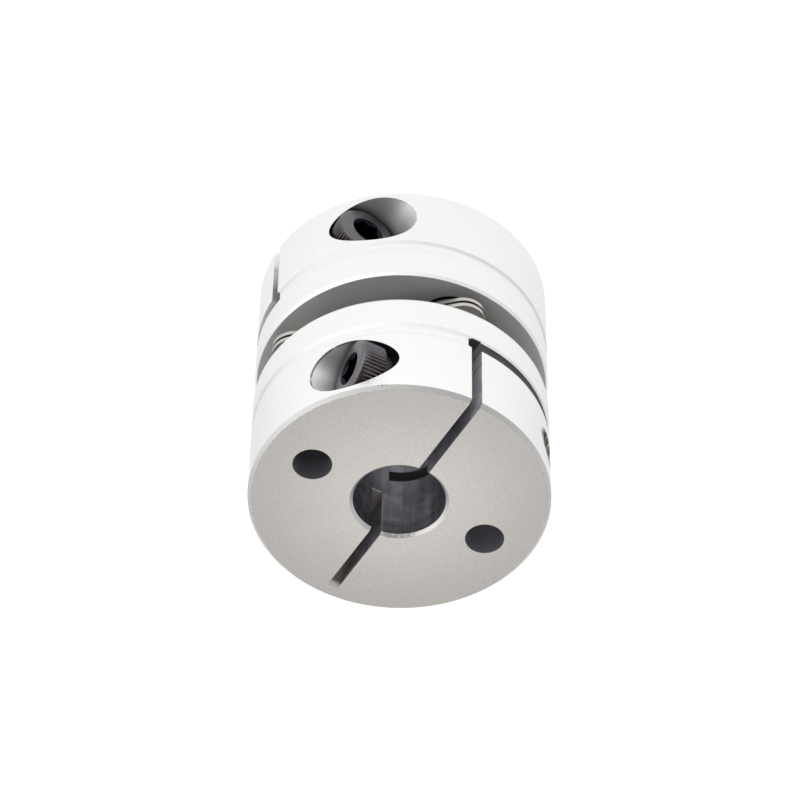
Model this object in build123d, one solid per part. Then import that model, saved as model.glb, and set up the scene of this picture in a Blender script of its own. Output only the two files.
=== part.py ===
from build123d import *
import os
from math import sqrt

os.makedirs("parts", exist_ok=True)

# Clamp coupling for two 8 mm shafts, flexible through a pair of thin steel discs.
# Model frame: +Z is the shaft axis, the origin is the centre of the lower end
# face, and the coupling stands on that face. Dimensions in millimetres.

# ---------------------------------------------------------------- driving dimensions
outside_dia = 26.0          # outside diameter of both hubs
overall_len = 26.6          # end face to end face
hub_gap = 3.3               # axial gap between the two hubs
bore_dia = 8.0              # shaft bore
end_chamfer = 0.32          # rim chamfer at the end face
gap_chamfer_axial = 0.30    # rim chamfer at the gap side, flatter than 45 degrees
gap_chamfer_radial = 0.18
bore_chamfer = 0.27         # bore chamfer at the end face
bore_back_chamfer = 0.2     # bore chamfer at the gap side

groove_from = 6.98          # turned groove on the outside, measured from the end face
groove_to = 8.38
groove_depth = 0.15
groove_wall = 0.30          # length of each sloped wall of the groove

slit_width = 1.0            # axial slit, in the plane of the bore axis
slit_saw_r = 31.4           # radius of the slitting saw that leaves the curved slit floor
slit_saw_u = 9.76           # saw centre, along the slit direction
slit_saw_out = 22.97        # saw centre, in front of the end face

cut_from = 6.95             # cross cut, measured from the end face
cut_to = 8.15
cut_saw_r = 33.4            # radius of the saw that leaves the curved end of the cross cut
cut_saw_u = 7.97
cut_saw_v = -32.32

clamp_offset = 8.39         # clamp screw axis from the bore axis, where it crosses the slit
clamp_depth = 3.81          # clamp screw axis from the end face, at the same point
clamp_lean = (1.12, 1.53)   # the clamp hole is drilled a little off square: degrees about the hub's X and Z
cbore_offset = 8.3          # counterbore axis from the bore axis, square to the slit
cbore_depth = 3.72          # counterbore axis from the end face
cbore_dia = 5.9             # counterbore of the clamp screw
cbore_floor = 3.4           # counterbore floor from the slit's middle plane
clear_dia = 3.4             # clearance hole of the clamp screw, and the two key holes

pcd = 17.0                  # circle of the four disc bolts and of the key holes
recess_dia = 6.3            # recess that gives room to the other hub's bolt heads
recess_depth = 2.5
tap_depth = 2.8             # tapped holes for the disc bolts, from the gap face

screw_major_r = 1.43        # M3 screw thread, drawn as rings at 0.5 mm pitch
screw_minor_r = 1.17
tap_major_r = 1.50          # M3 tapped hole, same rings with 0.07 mm clearance
tap_minor_r = 1.24
pitch = 0.5
thread_phase = 0.25         # thread crests lie at this phase along the screw axis
head_dia = 5.4              # socket head, over its knurled band
head_h = 3.0
head_band = 2.18            # the knurled band ends this far below the face
head_foot_dia = 4.6         # plain foot of the head, under the band
hex_af = 2.5                # key size
hex_depth = 1.5
clamp_screw_len = 10.0
upper_head_face = 9.62      # face of the upper clamp screw's head from the slit plane
lower_head_face = 8.34      # the lower one is turned in further
screw_pivot = -1.95         # the lower screw stands slack and leans a little in its thread, about this point
upper_lean = (0.0, 0.0)     # degrees, on top of the hole's own lean
lower_lean = (0.2, -0.74)
upper_hex_turn = 43.0       # how far each socket is turned
lower_hex_turn = 49.0
bolt_len = 5.0              # disc bolts, under the head
bolt_shank_r = 1.47

disc_t = 0.40               # each of the two flexible discs
disc_half = 9.58            # half the width across the disc's flats
disc_corner_r = 2.0         # its rounded corners stand over the bolts
disc_hole_dia = 10.4        # window in the middle of the disc
disc_bolt_hole_dia = 3.1
middle_t = 0.30             # thin washer between the two discs
middle_dia = 6.0
head_washer_t = 0.40        # washer between a bolt head and the nearer disc
head_washer_dia = 5.8
washer_hole_dia = 3.2
collar_dia = 6.0            # spacer collar between disc and hub
collar_hole_dia = 3.2

hub_len = (overall_len - hub_gap) / 2
R = outside_dia / 2
bolt_r = pcd / 2
pack_t = 2 * disc_t + middle_t
collar_t = (hub_gap - pack_t) / 2


# ---------------------------------------------------------------- profiles
def ring_thread(major, minor, low, high):
    """Points (r, z) of a zigzag thread between two heights, crests at thread_phase."""
    pts = []
    k = int((low - thread_phase) / pitch) - 2
    while True:
        for z, r in ((thread_phase + k * pitch, major), (thread_phase + (k + 0.5) * pitch, minor)):
            if z >= high - 1e-6:
                return pts
            if z > low + 1e-6:
                pts.append((r, z))
        k += 1


def turned(points):
    """Solid of revolution about Z from (r, z) points that start and end on the axis."""
    line = Polyline(*[(r, 0, z) for r, z in points], close=True)
    return revolve(make_face(line), Axis.Z, 360)


def socket_head(face_z):
    """Socket cap head with its face at face_z, pointing +Z, as (r, z) points from the foot inwards."""
    r = head_dia / 2
    foot = head_foot_dia / 2
    under = face_z - head_h
    band = face_z - head_band
    return [(foot - 0.12, under), (foot, under + 0.12), (foot, band), (r - 0.05, band), (r, band + 0.08),
            (r, face_z - 0.34), (r - 0.05, face_z - 0.20), (r - 0.25, face_z), (0, face_z)]


def hex_socket(face_z, turn):
    across = hex_af / 2 / 0.8660254
    prism = extrude(Plane.XY.offset(face_z - hex_depth) * RegularPolygon(across, 6), hex_depth + 0.5)
    point = Pos(0, 0, face_z - hex_depth - 0.35) * Cone(0.05, hex_af / 2 * 0.96, 0.7, align=(Align.CENTER, Align.CENTER, Align.CENTER))
    lead = Pos(0, 0, face_z - 0.1) * Cone(hex_af / 2 * 1.02, hex_af / 2 * 1.02 + 0.4, 0.4, align=(Align.CENTER, Align.CENTER, Align.CENTER))
    return Rot(0, 0, turn) * (prism + point + lead)


def clamp_screw(face_z, turn):
    """Clamp screw along +Z with the slit's middle plane at z = 0."""
    under = face_z - head_h
    tip = under - clamp_screw_len
    pts = [(0, tip), (1.0, tip), (screw_minor_r, tip + 0.24)]
    pts += [p for p in ring_thread(screw_major_r, screw_minor_r, tip + 0.3, under - 0.35)]
    pts += [(screw_minor_r + 0.05, under - 0.2), (screw_minor_r + 0.05, under)]
    pts += socket_head(face_z)
    return turned(pts) - hex_socket(face_z, turn)


def clamp_hole_place(lean=(0.0, 0.0)):
    """Axis of the clamp hole in its hub; lean turns a slack screw about a point inside its thread."""
    hole = Pos(clamp_offset, 0, -clamp_depth) * Rot(clamp_lean[0], 0, 0) * Rot(0, 0, clamp_lean[1])
    slack = Pos(0, screw_pivot, 0) * Rot(lean[0], 0, 0) * Rot(0, 0, lean[1]) * Pos(0, -screw_pivot, 0)
    return hole * slack * Rot(-90, 0, 0)


def disc_bolt():
    """Disc bolt with its head on +Z and the underside of the head at z = 0."""
    pts = [(0, -bolt_len), (bolt_shank_r - 0.3, -bolt_len), (bolt_shank_r, -bolt_len + 0.3), (bolt_shank_r, 0)]
    pts += socket_head(head_h)
    return turned(pts) - hex_socket(head_h, 0)


# ---------------------------------------------------------------- hub
def make_hub():
    """Hub in its own frame: +Z is the outward normal of the end face at z = 0,
    +X is the open side of the slit, +Y is the head side of the clamp screw."""
    c = Align.CENTER
    top = Align.MAX
    body = Cylinder(R, hub_len, align=(c, c, top))
    rims = body.edges().filter_by(GeomType.CIRCLE).sort_by(Axis.Z)
    body = chamfer(rims[-1], end_chamfer)
    rims = body.edges().filter_by(GeomType.CIRCLE).sort_by(Axis.Z)
    rim_face = body.faces().sort_by(Axis.Z)[0]
    body = chamfer(rims[0], gap_chamfer_radial, gap_chamfer_axial, reference=rim_face)

    # bore with its two chamfers
    br = bore_dia / 2
    L = hub_len
    body -= turned([(0, 0.5), (br + bore_chamfer + 0.5, 0.5), (br, -bore_chamfer),
                    (br, -L + bore_back_chamfer), (br + bore_back_chamfer + 0.5, -L - 0.5), (0, -L - 0.5)])

    # turned groove on the outside
    slope = groove_wall / groove_depth
    out = 0.5
    line = Polyline((R + out, 0, -groove_from + slope * out), (R - groove_depth, 0, -groove_from - groove_wall),
                    (R - groove_depth, 0, -groove_to + groove_wall), (R + out, 0, -groove_to - slope * out), close=True)
    body -= revolve(make_face(line), Axis.Z, 360)

    # key holes and, at the gap side, the recesses for the other hub's bolt heads
    for side in (1, -1):
        body -= Pos(0, side * bolt_r, 1) * Cylinder(clear_dia / 2, L + 2, align=(c, c, top))
        body -= Pos(0, side * bolt_r, -L + recess_depth) * Cylinder(recess_dia / 2, recess_depth + 1, align=(c, c, top))
        # tapped holes for this hub's own disc bolts
        body -= Pos(side * bolt_r, 0, -L + tap_depth) * Cylinder(tap_major_r, tap_depth + 1, align=(c, c, top))

    # axial slit: one pass of a slitting saw
    body -= Pos(slit_saw_u, 0, slit_saw_out) * Rot(90, 0, 0) * Cylinder(slit_saw_r, slit_width)

    # cross cut: a second pass, square to the axis
    body -= Pos(cut_saw_u, cut_saw_v, -cut_from) * Cylinder(cut_saw_r, cut_to - cut_from, align=(c, c, top))

    # clamp screw: counterbore and clearance hole on +Y, tapped hole on -Y
    # local +Z of these tools lies along +Y of the hub
    hole = clamp_hole_place()
    body -= Pos(cbore_offset, cbore_floor, -cbore_depth) * Rot(-90, 0, 0) * Cylinder(cbore_dia / 2, R, align=(c, c, Align.MIN))
    body -= hole * Cylinder(clear_dia / 2, cbore_floor + 1, align=(c, c, Align.MIN))
    low = -R - 0.6
    zig = [(0, low)] + [(tap_major_r, low)] + ring_thread(tap_major_r, tap_minor_r, low, -slit_width / 2 + 0.2)
    zig += [(tap_minor_r, -slit_width / 2 + 0.25), (0, -slit_width / 2 + 0.25)]
    body -= hole * turned(zig)
    return body


hub = make_hub()
upper_place = Pos(0, 0, overall_len) * Rot(0, 0, -90)
lower_place = Rot(180, 0, 0)

parts = {}
parts["upper_hub"] = upper_place * hub
parts["lower_hub"] = lower_place * hub
parts["upper_clamp_screw"] = upper_place * clamp_hole_place(upper_lean) * clamp_screw(upper_head_face, upper_hex_turn)
parts["lower_clamp_screw"] = lower_place * clamp_hole_place(lower_lean) * clamp_screw(lower_head_face, lower_hex_turn)

# ---------------------------------------------------------------- discs and their four stacks
mid = overall_len / 2
places = {"right": (bolt_r, 0), "left": (-bolt_r, 0), "back": (0, bolt_r), "front": (0, -bolt_r)}
# right and left bolts screw into the lower hub, front and back bolts into the upper hub
into_lower = {"right": True, "left": True, "back": False, "front": False}

# rounded square with its corners over the bolts
outline = Rot(0, 0, 45) * RectangleRounded(2 * disc_half, 2 * disc_half, disc_corner_r)
sheet = outline - Circle(disc_hole_dia / 2)
for x, y in places.values():
    sheet -= Pos(x, y) * Circle(disc_bolt_hole_dia / 2)
disc = extrude(sheet, disc_t)
parts["lower_disc"] = Pos(0, 0, mid - pack_t / 2) * disc
parts["upper_disc"] = Pos(0, 0, mid + middle_t / 2) * disc


def ring(dia, hole, t, x, y, low):
    c = Align.CENTER
    solid = Cylinder(dia / 2, t, align=(c, c, Align.MIN))
    edge = min(0.1, t * 0.25)
    solid = chamfer(solid.edges().filter_by(GeomType.CIRCLE), edge)
    solid -= Pos(0, 0, -1) * Cylinder(hole / 2, t + 2, align=(c, c, Align.MIN))
    return Pos(x, y, low) * solid


for name, (x, y) in places.items():
    parts[f"middle_washer_{name}"] = ring(middle_dia, washer_hole_dia, middle_t, x, y, mid - middle_t / 2)
    if into_lower[name]:
        parts[f"spacer_collar_{name}"] = ring(collar_dia, collar_hole_dia, collar_t, x, y, hub_len)
        parts[f"head_washer_{name}"] = ring(head_washer_dia, washer_hole_dia, head_washer_t, x, y, mid + pack_t / 2)
        parts[f"disc_bolt_{name}"] = Pos(x, y, mid + pack_t / 2 + head_washer_t) * disc_bolt()
    else:
        parts[f"spacer_collar_{name}"] = ring(collar_dia, collar_hole_dia, collar_t, x, y, overall_len - hub_len - collar_t)
        parts[f"head_washer_{name}"] = ring(head_washer_dia, washer_hole_dia, head_washer_t, x, y, mid - pack_t / 2 - head_washer_t)
        parts[f"disc_bolt_{name}"] = Pos(x, y, mid - pack_t / 2 - head_washer_t) * Rot(180, 0, 0) * disc_bolt()

for node, shape in parts.items():
    solids = shape.solids()
    export_step(solids[0] if len(solids) == 1 else Compound(children=list(solids)), f"parts/{node}.step")
    print(node, len(solids), round(sum(s.volume for s in solids), 2))
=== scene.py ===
import bpy
import bmesh
import math
from mathutils import Matrix, Vector


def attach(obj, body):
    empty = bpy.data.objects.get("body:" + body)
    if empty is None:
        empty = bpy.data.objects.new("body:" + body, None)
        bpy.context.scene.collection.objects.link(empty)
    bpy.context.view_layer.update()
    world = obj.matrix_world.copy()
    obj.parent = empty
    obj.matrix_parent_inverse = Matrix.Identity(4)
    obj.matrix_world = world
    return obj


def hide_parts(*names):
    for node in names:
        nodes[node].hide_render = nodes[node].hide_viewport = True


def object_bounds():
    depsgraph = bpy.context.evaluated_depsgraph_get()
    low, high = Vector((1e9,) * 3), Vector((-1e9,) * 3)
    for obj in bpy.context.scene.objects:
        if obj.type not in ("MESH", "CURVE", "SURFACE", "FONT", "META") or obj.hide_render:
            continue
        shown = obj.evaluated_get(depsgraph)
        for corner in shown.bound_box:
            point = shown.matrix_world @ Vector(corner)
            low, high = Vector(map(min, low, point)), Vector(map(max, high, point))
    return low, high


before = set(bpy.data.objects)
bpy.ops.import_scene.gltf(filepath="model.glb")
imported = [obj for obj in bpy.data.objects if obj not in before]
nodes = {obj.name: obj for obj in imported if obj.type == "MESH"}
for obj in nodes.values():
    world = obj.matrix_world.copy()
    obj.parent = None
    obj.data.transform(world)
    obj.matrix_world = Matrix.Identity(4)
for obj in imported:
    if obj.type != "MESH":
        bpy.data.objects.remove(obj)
cad_lo, cad_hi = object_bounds()
MM = 0.001
TOP = cad_hi.z


# ------------------------------------------------------------------ node helper
class Val:
    """A socket or a number, with arithmetic that makes Math nodes."""

    def __init__(self, tree, x):
        self.t, self.x = tree, x

    def op(self, name, b=None, c=None, clamp=False):
        return self.t.math(name, self, b, c, clamp)

    def __add__(self, o): return self.op("ADD", o)
    def __radd__(self, o): return self.op("ADD", o)
    def __sub__(self, o): return self.op("SUBTRACT", o)
    def __rsub__(self, o): return self.t.math("SUBTRACT", o, self)
    def __mul__(self, o): return self.op("MULTIPLY", o)
    def __rmul__(self, o): return self.op("MULTIPLY", o)
    def __truediv__(self, o): return self.op("DIVIDE", o)
    def __neg__(self): return self.op("MULTIPLY", -1.0)
    def abs(self): return self.op("ABSOLUTE")
    def sqrt(self): return self.op("SQRT")
    def max(self, o): return self.op("MAXIMUM", o)
    def min(self, o): return self.op("MINIMUM", o)
    def clamp(self): return self.t.math("ADD", self, 0.0, None, True)

    def ramp(self, a, b):
        """0 at a, 1 at b, smooth between. a may be above b."""
        return self.t.smooth(self, a, b)

    def band(self, low, high, soft):
        """1 between low and high, with soft edges of that width outside them."""
        return self.ramp(low - soft, low) * self.ramp(high + soft, high)


class Mat:
    def __init__(self, name):
        self.m = bpy.data.materials.new(name)
        self.m.use_nodes = True
        self.nt = self.m.node_tree
        self.nt.nodes.clear()
        self.out = self.node("ShaderNodeOutputMaterial")
        self.bsdf = self.node("ShaderNodeBsdfPrincipled")
        self.nt.links.new(self.bsdf.outputs[0], self.out.inputs[0])
        self.tc = self.node("ShaderNodeTexCoord")
        self.bump_chain = None

    def node(self, kind, **props):
        n = self.nt.nodes.new(kind)
        for k, v in props.items():
            setattr(n, k, v)
        return n

    def put(self, socket, value):
        x = value.x if isinstance(value, Val) else value
        if isinstance(x, bpy.types.NodeSocket):
            self.nt.links.new(x, socket)
        else:
            socket.default_value = x

    def math(self, name, a, b=None, c=None, clamp=False):
        n = self.node("ShaderNodeMath", operation=name, use_clamp=clamp)
        for s, v in zip(n.inputs, (a, b, c)):
            if v is not None:
                self.put(s, v)
        return Val(self, n.outputs[0])

    def smooth(self, v, a, b):
        n = self.node("ShaderNodeMapRange", interpolation_type="SMOOTHSTEP")
        self.put(n.inputs["Value"], v)
        if a <= b:
            n.inputs["From Min"].default_value, n.inputs["From Max"].default_value = a, b
            n.inputs["To Min"].default_value, n.inputs["To Max"].default_value = 0.0, 1.0
        else:
            n.inputs["From Min"].default_value, n.inputs["From Max"].default_value = b, a
            n.inputs["To Min"].default_value, n.inputs["To Max"].default_value = 1.0, 0.0
        return Val(self, n.outputs["Result"])

    def xyz(self, socket=None):
        n = self.node("ShaderNodeSeparateXYZ")
        self.nt.links.new(socket or self.tc.outputs["Object"], n.inputs[0])
        return [Val(self, o) for o in n.outputs]

    def vec(self, x, y, z):
        n = self.node("ShaderNodeCombineXYZ")
        for s, v in zip(n.inputs, (x, y, z)):
            self.put(s, v)
        return n.outputs[0]

    def noise(self, vector, scale, detail=2.0, rough=0.5, dim="3D"):
        n = self.node("ShaderNodeTexNoise", noise_dimensions=dim)
        self.nt.links.new(vector, n.inputs["Vector"])
        n.inputs["Scale"].default_value = scale
        n.inputs["Detail"].default_value = detail
        n.inputs["Roughness"].default_value = rough
        return Val(self, n.outputs["Fac"])

    def voronoi(self, vector, scale, feature="F1"):
        n = self.node("ShaderNodeTexVoronoi", feature=feature)
        self.nt.links.new(vector, n.inputs["Vector"])
        n.inputs["Scale"].default_value = scale
        return Val(self, n.outputs["Distance"])

    def mix(self, fac, a, b):
        """Colour mix; a and b are colours or sockets."""
        n = self.node("ShaderNodeMix", data_type="RGBA")
        self.put(n.inputs["Factor"], fac)
        sock = [s for s in n.inputs if s.type == "RGBA"]
        for s, v in zip(sock, (a, b)):
            if isinstance(v, bpy.types.NodeSocket):
                self.nt.links.new(v, s)
            else:
                s.default_value = (*v, 1.0)
        return [s for s in n.outputs if s.type == "RGBA"][0]

    def rgb(self, color):
        n = self.node("ShaderNodeRGB")
        n.outputs[0].default_value = (*color, 1.0)
        return n.outputs[0]

    def scale_color(self, color, k):
        n = self.node("ShaderNodeVectorMath", operation="SCALE")
        self.nt.links.new(color, n.inputs[0])
        self.put(n.inputs["Scale"], k)
        return n.outputs[0]

    def lerp(self, fac, a, b):
        return a + (b - a) * fac if isinstance(a, Val) or isinstance(b, Val) else fac * (b - a) + a

    def bump(self, height, distance, strength=1.0):
        """Adds a bump: height 0..1, distance in metres."""
        n = self.node("ShaderNodeBump")
        n.inputs["Strength"].default_value = strength
        n.inputs["Distance"].default_value = distance
        self.put(n.inputs["Height"], height)
        if self.bump_chain is not None:
            self.nt.links.new(self.bump_chain, n.inputs["Normal"])
        self.bump_chain = n.outputs[0]
        self.nt.links.new(self.bump_chain, self.bsdf.inputs["Normal"])

    def set(self, **kw):
        names = {"color": "Base Color", "metallic": "Metallic", "rough": "Roughness", "aniso": "Anisotropic"}
        for k, v in kw.items():
            s = self.bsdf.inputs[names.get(k, k)]
            if isinstance(v, (Val, bpy.types.NodeSocket)):
                self.put(s, v)
            elif isinstance(v, (tuple, list)):
                s.default_value = (*v, 1.0)
            else:
                s.default_value = v


# ------------------------------------------------------------------ materials
def hub_material(name, upper):
    """Fine blasted, clear anodised aluminium. u, v, s in mm are the hub's own directions:
    u towards the slit's open side, v towards the clamp screw's head, s inwards from the end face."""
    m = Mat(name)
    x, y, z = m.xyz()
    nx, ny, nz = m.xyz(m.tc.outputs["Normal"])
    if upper:
        u, v, s = y * -1000.0, x * 1000.0, (TOP - z) * 1000.0
        nu, nv, ns = -ny, nx, -nz
    else:
        u, v, s = x * 1000.0, y * -1000.0, z * 1000.0
        nu, nv, ns = nx, -ny, nz
    p = m.vec(u, v, s)
    r = (u * u + v * v).sqrt()
    flat = ns.abs()

    # where things are
    bore = r.ramp(4.12, 4.02) * flat.ramp(0.5, 0.3)
    slit_wall = v.abs().band(0.49, 0.51, 0.02) * nv.abs().ramp(0.9, 0.97)
    slit_floor = v.abs().ramp(0.5, 0.49) * r.band(4.05, 12.85, 0.03) * nv.abs().ramp(0.3, 0.1) * s.ramp(0.03, 0.06) * s.ramp(8.6, 8.5) * u.ramp(-12.3, -12.0)
    deep = (s - 7.55).abs()
    cross_wall = deep.ramp(0.63, 0.61) * flat.ramp(0.9, 0.97) * r.band(4.02, 12.97, 0.02)
    cross_end = deep.ramp(0.59, 0.57) * r.band(4.10, 12.75, 0.04) * flat.ramp(0.5, 0.3)
    cross_cut = m.math("MAXIMUM", cross_wall, cross_end)
    uc, sc = u - 8.3, s - 3.72
    rc = (uc * uc + sc * sc).sqrt()
    cbore = rc.band(2.9, 3.0, 0.03) * v.ramp(3.3, 3.42) * nv.abs().ramp(0.3, 0.1)
    ut, st = v * 0.0267 + u - 8.39, v * 0.0195 + s - 3.81
    tapped = (ut * ut + st * st).sqrt().ramp(1.62, 1.55) * v.ramp(-0.4, -0.5)
    end_face = s.ramp(0.03, 0.005) * flat.ramp(0.9, 0.98)
    gap_face = s.ramp(11.60, 11.64) * flat.ramp(0.9, 0.98)
    od = r.ramp(12.7, 12.8) * flat.ramp(0.3, 0.2) * nv.abs().ramp(1.01, 1.0)
    rim = r.ramp(12.6, 12.7) * s.ramp(0.4, 0.33) * flat.band(0.5, 0.9, 0.08)
    groove_wall = s.band(6.95, 8.40, 0.04) * r.ramp(12.78, 12.84) * flat.band(0.36, 0.54, 0.08)
    kv, ku = v.abs() - 8.5, u
    key_hole = (kv * kv + ku * ku).sqrt().ramp(1.78, 1.72) * flat.ramp(0.5, 0.3)

    # blasted grain and slow tone changes
    grain = m.noise(p, 9.0, 3.0, 0.6)
    cloud = m.noise(p, 0.33, 3.0, 0.55)
    speck = m.noise(p, 2.6, 4.0, 0.72)
    tone = (cloud - 0.5) * 0.30 + (speck - 0.5) * 0.75
    base = m.mix((tone + 0.5).clamp(), (0.86, 0.858, 0.852), (0.955, 0.953, 0.95))
    mottle = (m.noise(p, 4.0, 2.0, 0.6) - 0.5) * 1.0
    face = m.mix((tone + mottle + 0.5).clamp(), FACE_LOW, FACE_HIGH)
    pits = m.noise(p, 3.1, 1.0, 0.4).ramp(0.74, 0.80)
    face = m.mix(pits * 0.35, face, (0.30, 0.29, 0.28))
    # painted shade: the end face darkens towards its rim
    face = m.mix(r.ramp(3.0, 13.6), face, m.scale_color(face, FACE_RIM_PAINTED_SHADE))
    # painted light and shade: the upper end face is lighter towards one side and darker towards the other
    if upper:
        face = m.scale_color(face, u * 0.0030 + v * 0.0018 + 1.0)
    base = m.mix(end_face, base, face)
    base = m.mix(rim, base, RIM)
    # painted shade: the groove's walls that face up are darker than those that face away
    base = m.mix(groove_wall, base, m.mix(nz.ramp(-0.2, 0.2), GROOVE_AWAY, GROOVE_UP_PAINTED_SHADE))
    # bore: soft marks along it and turning rings near its open end, with painted light on two sides and painted shade
    # in its middle and in two bands
    streak = m.noise(m.vec(u * 1.7, v * 1.7, s * 0.10), 1.3, 3.0, 0.6)
    ring = m.noise(m.vec(0.0, 0.0, s), 4.2, 2.0, 0.6)
    worn = m.noise(p, 0.9, 3.0, 0.65)
    bore_marks_and_painted_shading = (streak - 0.5) * 0.9 + (ring - 0.5) * s.ramp(3.6, 0.6) * 2.6 + (worn - 0.5) * 1.1 + 1.0
    # painted highlight on two sides of the bore, painted shade between them and in two bands across it
    across = u * 0.125 - v * 0.2165
    painted_lit_sides = m.math("MAXIMUM", across.ramp(-0.62, -0.92), across.ramp(0.30, 0.7) * s.ramp(5.5, 4.0))
    bore_marks_and_painted_shading = bore_marks_and_painted_shading * m.lerp(painted_lit_sides, 1.0, 1.55) * m.lerp((-painted_lit_sides + 1.0) * s.ramp(2.0, 1.2), 1.0, 0.70)
    bore_marks_and_painted_shading = bore_marks_and_painted_shading * m.lerp(across.band(-0.5, -0.25, 0.1) * s.ramp(4.5, 5.5), 1.0, 0.78)
    bore_marks_and_painted_shading = bore_marks_and_painted_shading * m.lerp(across.band(0.12, 0.5, 0.1) * s.ramp(3.0, 4.0), 1.0, 0.78)
    base = m.mix(bore, base, m.scale_color(m.rgb(BORE), bore_marks_and_painted_shading.max(0.3)))
    # slit walls: dark on the closed side and lighter towards the open side, as painted shade and painted light
    wall = m.mix(u.ramp(-2.0, 8.0), SLIT_DARK, SLIT_WALL)
    wall = m.mix(u.ramp(8.0, 12.6), wall, SLIT_OPEN_PAINTED_LIGHT)
    wall = m.mix(u.ramp(-7.5, -11.5), wall, SLIT_TIP)
    patch = m.noise(m.vec(u * 0.5, 0.0, s * 0.8), 1.0, 3.0, 0.7)
    wall_patches_and_painted_shade = patch * 1.5 + 0.25
    if upper:
        # painted shade on the cross cut: darker near the outside and towards the bore
        cross_painted_shading = m.lerp(r.ramp(12.2, 12.9), 1.0, 0.5) * m.lerp(r.ramp(4.5, 7.5), 0.42, 1.0)
    else:
        # painted shade: the lower hub's slit walls darken deeper in
        wall_patches_and_painted_shade = wall_patches_and_painted_shade * m.lerp(s.ramp(0.8, 5.5), 1.15, 0.62)
        # painted light and shade on the cross cut: lighter near the outside, darker deeper in
        cross_painted_shading = m.lerp(r.ramp(11.8, 12.5), 0.75, 1.3)
    base = m.mix(slit_wall, base, m.scale_color(wall, wall_patches_and_painted_shade))
    base = m.mix(cross_cut, base, m.scale_color(m.rgb(CROSS), cross_painted_shading))
    # slit floor: dark, partly the sawn surface's own tone and partly painted shade; painted light where it ends at the
    # end face
    floor_end_painted_light = s.ramp(0.45, 0.15)
    base = m.mix(slit_floor, base, m.mix(floor_end_painted_light, SLIT_FLOOR, SLIT_FLOOR_END_PAINTED_LIGHT))
    # painted highlight: a thin bright edge where the slit leaves the bore
    slit_edge_painted_highlight = r.band(3.9, 4.06, 0.02) * v.band(-0.58, -0.49, 0.03) * u.ramp(-2.0, -3.0) * s.ramp(4.6, 3.6)
    base = m.mix(slit_edge_painted_highlight * 0.8, base, (0.95, 0.93, 0.92))
    # painted shade: the face inside the gap between the hubs is darker
    base = m.mix(gap_face, base, GAP_FACE_PAINTED_SHADE)
    base = m.mix(key_hole, base, KEY_HOLE)
    # painted light and shade on the counterbore wall: darker deep in beside the screw head, lighter towards its mouth
    if upper:
        cbore_painted_shading = m.lerp(s.ramp(2.6, 5.6), 1.15, 0.92) * m.lerp(v.ramp(9.2, 10.4), 0.70, 1.0)
    else:
        cbore_painted_shading = m.lerp(v.ramp(7.4, 9.4), 0.40, 1.15)
    base = m.mix(cbore, base, m.scale_color(m.rgb(CBORE), cbore_painted_shading))
    base = m.mix(tapped, base, TAPPED)

    # ragged dark burr line where the counterbore breaks out of the outside
    ragged = m.noise(p, 2.2, 3.0, 0.75)
    burr = cbore * r.ramp(12.78, 12.90) * ragged.ramp(0.36, 0.46) if upper else cbore * r.ramp(12.86, 12.95) * ragged.ramp(0.45, 0.6) * 0.4
    base = m.mix(burr * 0.85, base, (0.14, 0.14, 0.15))
    # small nicks on the end face's rim and, on the outside, beside the counterbore
    for (cu, cv, cs), size, deep in NICKS[upper]:
        du, dv, ds = u - cu, v - cv, s - cs
        d = (du * du + dv * dv + ds * ds * 2.5).sqrt() + (ragged - 0.5) * size * 1.6
        nick = d.ramp(size, size * 0.55)
        base = m.mix(nick * deep, base, (0.22, 0.22, 0.24))

    # thin worn line where the end face meets its rim, and the bore's chamfer: torn on one side, with a painted
    # highlight beside it
    worn_line = r.band(12.64, 12.70, 0.03) * s.ramp(0.09, 0.04) * ragged.ramp(0.46, 0.60)
    base = m.mix(worn_line * 0.45, base, (0.42, 0.41, 0.40))
    lead = r.band(3.98, 4.30, 0.03) * s.ramp(0.30, 0.26) * flat.band(0.5, 0.85, 0.08)
    torn = lead * ((u * -0.866 - v * 0.5) / r).ramp(0.925, 0.97) * m.noise(p, 5.0, 3.0, 0.7).ramp(0.35, 0.6)
    chamfer_painted_highlight = lead * ((u * -0.259 - v * 0.966) / r).ramp(0.84, 0.95)
    if upper:
        base = m.mix(chamfer_painted_highlight, base, (1.0, 0.975, 0.945))
        base = m.mix(torn * 0.7, base, (0.36, 0.345, 0.33))

    rough = m.lerp(grain, 0.36, 0.50)
    rough = m.lerp(end_face, rough, 0.46)
    rough = m.lerp(bore, rough, 0.30)
    rough = m.lerp(gap_face, rough, 0.62)
    rough = m.lerp(cbore, rough, 0.45)
    rough = m.lerp(m.math("MAXIMUM", slit_wall, cross_cut), rough, 0.5)
    m.set(color=base, metallic=1.0, rough=rough)

    m.bump(grain, 0.000006, 0.5)
    # feed rings in the bore, fine vertical rub marks in it, and saw marks on the slit walls
    rings = m.noise(m.vec(0.0, 0.0, s), 9.0, 3.0, 0.7)
    rub = m.noise(m.vec(u * 3.0, v * 3.0, s * 0.15), 1.0, 3.0, 0.7)
    m.bump(rings * bore, 0.00006, 0.7)
    m.bump(rub * bore, 0.00003, 0.6)
    su, ss = u - 9.76, s + 22.97
    saw_r = (su * su + ss * ss).sqrt()
    marks = m.noise(m.vec(saw_r, u * 0.05, 0.0), 4.5, 3.0, 0.7)
    m.bump(marks * slit_wall, 0.00010, 0.9)
    return m.m


def steel_material(name, color, rough_low, rough_high, grain_scale, bump):
    m = Mat(name)
    x, y, z = m.xyz()
    p = m.vec(x * 1000.0, y * 1000.0, z * 1000.0)
    grain = m.noise(p, grain_scale, 3.0, 0.6)
    slow = m.noise(p, 0.8, 2.0, 0.5)
    dark = tuple(c * 0.82 for c in color)
    m.set(color=m.mix(slow, dark, color), metallic=1.0, rough=m.lerp(grain, rough_low, rough_high))
    m.bump(grain, bump)
    return m.m


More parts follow.
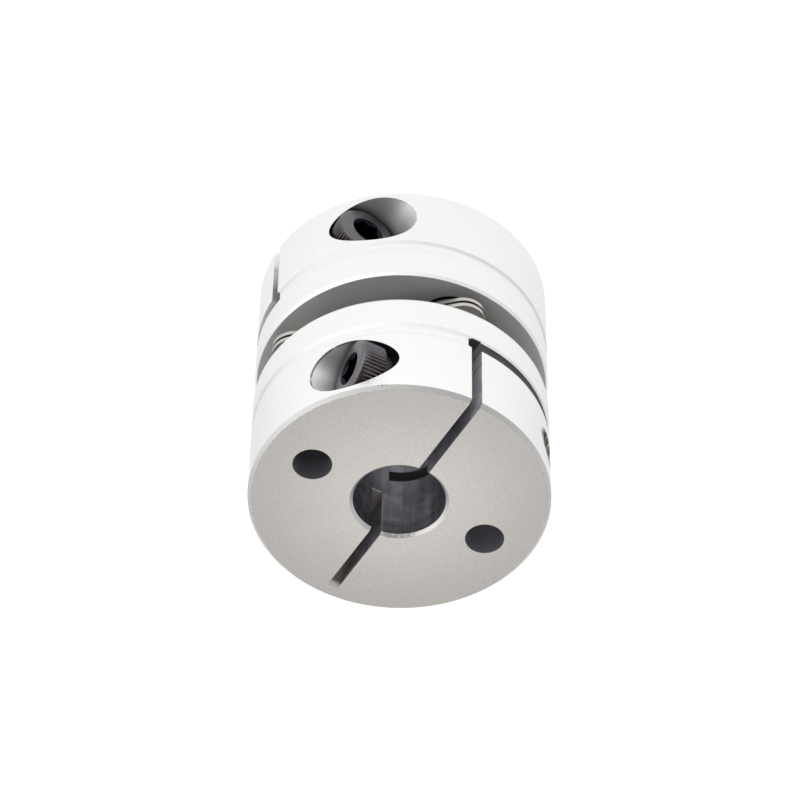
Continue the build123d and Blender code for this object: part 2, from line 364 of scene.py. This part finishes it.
def black_oxide(name, axis=None, face=0.0, far=None, centre=None):
    """Black oxide steel. With an axis, the flank and the foot of a clamp screw's head are painted darker than its face
    as painted shade, and the face gets painted shade along far, three weights and an offset, towards the counterbore's
    wall."""
    m = Mat(name)
    x, y, z = m.xyz()
    p = m.vec(x * 1000.0, y * 1000.0, z * 1000.0)
    grain = m.noise(p, 7.0, 3.0, 0.6)
    slow = m.noise(p, 1.1, 3.0, 0.6)
    base = m.mix(slow.ramp(0.4, 0.65), BLACK_COOL, BLACK_WARM)
    if axis:
        nx, ny, nz = m.xyz(m.tc.outputs["Normal"])
        along = x * (1000.0 * axis[0]) + y * (1000.0 * axis[1])
        facing = (nx * axis[0] + ny * axis[1]).ramp(0.25, 0.6)
        depth = x * (1000.0 * far[0]) + y * (1000.0 * far[1]) + z * (1000.0 * far[2]) + far[3]
        # painted shade on the head's face towards the counterbore's wall
        base = m.mix(depth.ramp(0.2, 2.2), base, m.scale_color(base, 0.38))
        # painted shade on the flank, darkest where it faces up
        flank = m.mix(nz.ramp(0.1, 0.85), FLANK_PAINTED_SHADE, FLANK_UP_PAINTED_SHADE)
        base = m.mix(facing, flank, base)
        # the socket, painted near black as painted shade: inside the head's own axis by less than its lead
        px, py, pz = (c * 1000.0 - centre[i] for i, c in enumerate((x, y, z)))
        cross = px * axis[1] - py * axis[0]
        inside = (cross * cross + pz * pz).sqrt().ramp(1.51, 1.48) * along.ramp(face - 2.9, face - 2.8)
        base = m.mix(inside, base, SOCKET_PAINTED_SHADE)
        # painted shade on the foot below the knurled band
        base = m.mix(along.ramp(face - 2.15, face - 2.35), base, m.scale_color(base, 0.35))
    m.set(color=base, metallic=1.0, rough=m.lerp(grain, 0.28, 0.46))
    m.bump(grain, 0.000008, 0.6)
    return m.m


# base colours and finishes, by region
FACE_LOW, FACE_HIGH = (0.784, 0.752, 0.716), (0.974, 0.936, 0.889)
FACE_RIM_PAINTED_SHADE = 0.80
RIM = (0.815, 0.811, 0.804)
BORE = (0.50, 0.50, 0.53)
SLIT_DARK, SLIT_WALL, SLIT_OPEN_PAINTED_LIGHT = (0.60, 0.59, 0.64), (0.56, 0.56, 0.60), (0.95, 0.95, 1.0)
SLIT_TIP = (0.50, 0.44, 0.41)
CROSS = (0.74, 0.73, 0.75)
SLIT_FLOOR, SLIT_FLOOR_END_PAINTED_LIGHT = (0.24, 0.21, 0.19), (0.97, 0.95, 0.94)
TAPPED = (0.62, 0.575, 0.54)
GAP_FACE_PAINTED_SHADE = (0.68, 0.675, 0.67)
KEY_HOLE = (0.76, 0.76, 0.80)
GROOVE_AWAY, GROOVE_UP_PAINTED_SHADE = (0.89, 0.89, 0.885), (0.765, 0.765, 0.76)
CBORE = (0.84, 0.84, 0.85)
BLACK_COOL, BLACK_WARM = (0.150, 0.150, 0.165), (0.172, 0.160, 0.155)
SOCKET_PAINTED_SHADE = (0.017, 0.017, 0.025)
FLANK_PAINTED_SHADE, FLANK_UP_PAINTED_SHADE = (0.118, 0.116, 0.130), (0.062, 0.045, 0.044)
NICKS = {
    True: [((10.67, 7.42, 0.30), 0.16, 0.5), ((10.49, 7.68, 0.30), 0.16, 0.6), ((10.30, 7.93, 0.31), 0.15, 0.5)],
    False: [],
}

mat_upper = hub_material("aluminium_upper", True)
mat_lower = hub_material("aluminium_lower", False)
mat_black = black_oxide("black_oxide")
mat_disc = steel_material("disc_steel", (0.62, 0.60, 0.575), 0.18, 0.32, 8.0, 0.000006)
mat_washer = steel_material("washer_steel", (0.52, 0.50, 0.47), 0.24, 0.38, 6.0, 0.000006)
mat_collar = steel_material("collar_steel", (0.66, 0.645, 0.62), 0.26, 0.40, 6.0, 0.000006)

for n, o in nodes.items():
    if n == "upper_hub":
        mat = mat_upper
    elif n == "lower_hub":
        mat = mat_lower
    elif "washer" in n:
        mat = mat_washer
    elif "collar" in n:
        mat = mat_collar
    elif n in ("upper_disc", "lower_disc"):
        mat = mat_disc
    else:
        mat = mat_black
    for i in range(len(o.material_slots)):
        o.material_slots[i].material = mat


# ------------------------------------------------------------------ clamp screws
def clamp_screw_mesh(face, turn):
    """Socket head cap screw along +Z, slit plane at z = 0, sizes in mm: knurled band and plain foot, a hex socket, then a helical thread."""
    bm = bmesh.new()
    ridges, per = 50, 8
    n = ridges * per
    head_r, foot_r, head_h, band = 2.70, 2.30, 3.0, 2.18
    under, tip = face - head_h, face - head_h - 10.0
    half = 1.25
    lead_r = half * 1.155 + 0.05

    def hexr(a):
        k = (math.degrees(a) - turn) % 60.0 - 30.0
        return half / math.cos(math.radians(k))

    rows = []
    for j in range(n):
        a = 2 * math.pi * j / n + math.radians(turn)
        hr = hexr(a)
        lead_z = face - (lead_r - hr) * 1.3
        # straight knurl: rounded ridges with narrow valleys
        t = (j % per) / per
        valley = 0.5 + 0.5 * math.cos(2 * math.pi * t)
        valley = valley ** 1.4
        cut = 0.08 * valley
        col = [
            (0.0, face - 1.5 - 0.35),
            (hr * 0.5, face - 1.5 - 0.17),
            (hr, face - 1.5),
            (hr, lead_z),
            (lead_r, face),
            (head_r - 0.30, face),
            (head_r - 0.22, face - 0.03),
            (head_r - 0.10 - cut * 0.05, face - 0.13),
            (head_r - 0.03 - cut * 0.2, face - 0.28),
            (head_r - cut * 0.65, face - 0.52),
            (head_r - cut, face - 0.80),
            (head_r - cut, face - band + 0.10),
            (head_r - 0.05 - cut, face - band),
            (foot_r, face - band),
            (foot_r, under + 0.12),
            (foot_r - 0.12, under),
            (1.22, under),
            (1.22, under - 0.2),
            (1.17, under - 0.35),
            (0.0, under - 0.35),
        ]
        rows.append([(r * math.cos(a), r * math.sin(a), z) for r, z in col])
    k = len(rows[0])
    top = bm.verts.new(rows[0][0])
    bottom = bm.verts.new(rows[0][-1])
    grid = [[None] + [bm.verts.new(c) for c in row[1:-1]] + [None] for row in rows]
    for j in range(n):
        a, b = grid[j], grid[(j + 1) % n]
        bm.faces.new((top, a[1], b[1]))
        for i in range(1, k - 2):
            bm.faces.new((a[i], a[i + 1], b[i + 1], b[i]))
        bm.faces.new((a[k - 2], bottom, b[k - 2]))
    head_verts = set(bm.verts)

    # helical thread, rows that follow the helix
    nt, pitch = 96, 0.5
    prof = [(0.0, 1.17), (0.06, 1.17), (0.25 - 0.03, 1.43), (0.25 + 0.03, 1.43), (0.44, 1.17)]
    low, high = tip, under - 0.35
    turns = int((high - low) / pitch) + 4
    start = low - 2 * pitch
    tv = []
    for i in range(turns * len(prof)):
        q_turn, q = divmod(i, len(prof))
        dz, rr = prof[q]
        row = []
        for j in range(nt):
            a = 2 * math.pi * j / nt
            z = start + q_turn * pitch + dz + pitch * j / nt
            r = 1.0 + (rr - 1.0) * max(0.0, min(1.0, (z - low) / 0.3)) if z < low + 0.3 else (
                1.17 + (rr - 1.17) * max(0.0, min(1.0, (high - z) / 0.4)))
            row.append(bm.verts.new((r * math.cos(a), r * math.sin(a), z)))
        tv.append(row)
    for i in range(len(tv) - 1):
        for j in range(nt - 1):
            bm.faces.new((tv[i][j], tv[i][j + 1], tv[i + 1][j + 1], tv[i + 1][j]))
        i2 = i + len(prof)
        if i2 + 1 < len(tv):
            bm.faces.new((tv[i][nt - 1], tv[i2][0], tv[i2 + 1][0], tv[i + 1][nt - 1]))
    for z, nz in ((low, -1), (high, 1)):
        rod_v = [v for v in bm.verts if v.is_valid and v not in head_verts]
        edges = [e for e in bm.edges if e.verts[0] not in head_verts]
        faces = [f for f in bm.faces if f.verts[0] not in head_verts]
        got = bmesh.ops.bisect_plane(bm, geom=rod_v + edges + faces, dist=1e-7, plane_co=(0, 0, z), plane_no=(0, 0, nz), clear_outer=True)
        cut = [g for g in got["geom_cut"] if isinstance(g, bmesh.types.BMEdge)]
        centre = bm.verts.new((0, 0, z))
        for e in cut:
            bm.faces.new((e.verts[0], e.verts[1], centre))
    bmesh.ops.recalc_face_normals(bm, faces=bm.faces)
    return bm


def add_screw(name, node, face, turn, lean, hub_place, axis, far, centre):
    """Screw in its hub's own frame, as in the CAD: in the leaning clamp hole, turned by lean about a point in its thread."""
    bm = clamp_screw_mesh(face, turn)
    pivot = -1.95
    place = (hub_place @ Matrix.Translation((8.39, 0, -3.81)) @ Matrix.Rotation(math.radians(1.12), 4, "X")
             @ Matrix.Rotation(math.radians(1.53), 4, "Z") @ Matrix.Translation((0, pivot, 0))
             @ Matrix.Rotation(math.radians(lean[0]), 4, "X") @ Matrix.Rotation(math.radians(lean[1]), 4, "Z")
             @ Matrix.Translation((0, -pivot, 0)) @ Matrix.Rotation(math.radians(-90), 4, "X"))
    bm.transform(Matrix.Scale(MM, 4) @ place)
    me = bpy.data.meshes.new(name)
    bm.to_mesh(me)
    bm.free()
    for pgon in me.polygons:
        pgon.use_smooth = True
    me.set_sharp_from_angle(angle=math.radians(28))
    o = bpy.data.objects.new(name, me)
    bpy.context.scene.collection.objects.link(o)
    me.materials.append(black_oxide(name + "_black", axis, face, far, centre))
    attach(o, "root")
    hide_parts(node)
    return o


UPPER_PLACE = Matrix.Translation((0, 0, TOP / MM)) @ Matrix.Rotation(math.radians(-90), 4, "Z")
LOWER_PLACE = Matrix.Rotation(math.radians(180), 4, "X")
add_screw("upper_screw_knurled", "upper_clamp_screw", 9.62, 43.0, (0.0, 0.0), UPPER_PLACE, (1.0, 0.0),
          (0.0, 0.707, -0.707, (8.39 - 3.81) * 0.707 + TOP / MM * 0.707), (9.62, -8.133, TOP / MM - 3.622))
add_screw("lower_screw_knurled", "lower_clamp_screw", 8.34, 49.0, (0.2, -0.74), LOWER_PLACE, (0.0, -1.0),
          (-0.863, 0.0, -0.505, 8.39 * 0.863 + 3.81 * 0.505), (8.300, -8.34, 3.611))


# ------------------------------------------------------------------ stage
FRONT = Vector((0.488, -0.873, 0.0))


def floor():
    """White floor. The picture's white ground comes from a light-table glow, with the object's real soft shadow on it."""
    bm = bmesh.new()
    bmesh.ops.create_circle(bm, cap_ends=True, radius=1.5, segments=96)
    me = bpy.data.meshes.new("floor")
    bm.to_mesh(me)
    bm.free()
    o = bpy.data.objects.new("floor", me)
    bpy.context.scene.collection.objects.link(o)
    o.location = (0, 0, -0.00002)
    m = Mat("floor_white")
    x, y, z = m.xyz()
    t = x * FRONT.x + y * FRONT.y
    ramp = m.node("ShaderNodeValToRGB")
    ramp.color_ramp.interpolation = "LINEAR"
    stops = ramp.color_ramp.elements
    while len(stops) < len(GLOW):
        stops.new(0.5)
    for e, (at, v) in zip(stops, GLOW):
        e.position = (at + 200) / 400
    for e, (at, v) in zip(stops, GLOW):
        e.color = (v / 3, v / 3, v / 3, 1)
    m.put(ramp.inputs[0], t * 2.5 + 0.5)
    glow = Val(m, ramp.outputs[0]) * 3.0
    m.nt.nodes.remove(m.bsdf)
    seen = m.node("ShaderNodeLightPath").outputs["Is Camera Ray"]
    bounce = m.node("ShaderNodeEmission")
    m.put(bounce.inputs["Strength"], glow)
    ground = m.node("ShaderNodeEmission")
    ground.inputs["Strength"].default_value = 0.9
    lit = m.node("ShaderNodeBsdfDiffuse")
    lit.inputs["Color"].default_value = (0.35, 0.35, 0.35, 1)
    both = m.node("ShaderNodeAddShader")
    pick = m.node("ShaderNodeMixShader")
    m.nt.links.new(ground.outputs[0], both.inputs[0])
    m.nt.links.new(lit.outputs[0], both.inputs[1])
    m.nt.links.new(seen, pick.inputs[0])
    m.nt.links.new(bounce.outputs[0], pick.inputs[1])
    m.nt.links.new(both.outputs[0], pick.inputs[2])
    m.nt.links.new(pick.outputs[0], m.out.inputs[0])
    me.materials.append(m.m)


def studio():
    """Soft light all round, as broad lamps at three heights."""
    world = bpy.data.worlds.new("studio")
    bpy.context.scene.world = world
    world.use_nodes = True
    nt = world.node_tree
    nt.nodes.clear()
    tc = nt.nodes.new("ShaderNodeTexCoord")

    def put(sock, v):
        if isinstance(v, bpy.types.NodeSocket):
            nt.links.new(v, sock)
        else:
            sock.default_value = v

    def math_node(op, a, b):
        n = nt.nodes.new("ShaderNodeMath")
        n.operation = op
        put(n.inputs[0], a)
        put(n.inputs[1], b)
        return n.outputs[0]

    def lobe(direction, power, color):
        dot = nt.nodes.new("ShaderNodeVectorMath")
        dot.operation = "DOT_PRODUCT"
        nt.links.new(tc.outputs["Generated"], dot.inputs[0])
        dot.inputs[1].default_value = Vector(direction).normalized()
        w = math_node("POWER", math_node("MAXIMUM", dot.outputs["Value"], 0.0), power)
        c = nt.nodes.new("ShaderNodeVectorMath")
        c.operation = "SCALE"
        c.inputs[0].default_value = color
        nt.links.new(w, c.inputs["Scale"])
        return c.outputs[0]

    total = None
    for el, az, strength in LIGHTS:
        el, az = math.radians(el), math.radians(az)
        one = lobe((math.cos(el) * math.cos(az), math.cos(el) * math.sin(az), math.sin(el)), 8.0, (strength,) * 3)
        if total is None:
            total = one
        else:
            s = nt.nodes.new("ShaderNodeVectorMath")
            s.operation = "ADD"
            nt.links.new(total, s.inputs[0])
            nt.links.new(one, s.inputs[1])
            total = s.outputs[0]
    light = nt.nodes.new("ShaderNodeBackground")
    nt.links.new(total, light.inputs["Color"])
    plain = nt.nodes.new("ShaderNodeBackground")
    plain.inputs["Color"].default_value = (0.93, 0.93, 0.93, 1)
    path = nt.nodes.new("ShaderNodeLightPath")
    pick = nt.nodes.new("ShaderNodeMixShader")
    nt.links.new(path.outputs["Is Camera Ray"], pick.inputs[0])
    nt.links.new(light.outputs[0], pick.inputs[1])
    nt.links.new(plain.outputs[0], pick.inputs[2])
    out = nt.nodes.new("ShaderNodeOutputWorld")
    nt.links.new(pick.outputs[0], out.inputs[0])


# floor glow as seen by the object, at distances in mm towards the front
GLOW = [(-200, 0.15), (-60, 1.10), (-30, 1.12), (-15, 0.82), (0, 0.92), (15, 1.03), (40, 0.99), (200, 2.60)]
# soft lights: elevation and azimuth in degrees, strength
LIGHTS = [(12, 0, 1.45), (12, 45, 0.69), (12, 90, 0.54), (12, 135, 0.30), (12, 180, 0.55), (12, 225, 0.48), (12, 270, 0.58),
          (12, 315, 1.07), (42, 90, 0.16), (42, 135, 0.50), (42, 180, 0.12), (90, 0, 1.16)]

floor()
studio()

scene = bpy.context.scene
scene.view_settings.view_transform = "Standard"
scene.view_settings.look = "None"
scene.view_settings.exposure = 0.0
scene.view_settings.gamma = 1.0

# ------------------------------------------------------------------ camera
cam_data = bpy.data.cameras.new("camera")
cam_data.sensor_width = 36.0
cam_data.lens = 154.54
cam_data.clip_start, cam_data.clip_end = 0.01, 10.0
cam = bpy.data.objects.new("camera", cam_data)
scene.collection.objects.link(cam)
right = Vector((-0.86597, -0.49997, -0.01173))
up = Vector((0.38395, -0.64962, -0.65619))
back = Vector((0.32045, -0.57275, 0.75450))
rot = Matrix((right, up, back)).transposed()
cam.matrix_world = Matrix.Translation((0.09733, -0.17377, 0.2423)) @ rot.to_4x4()
scene.camera = cam
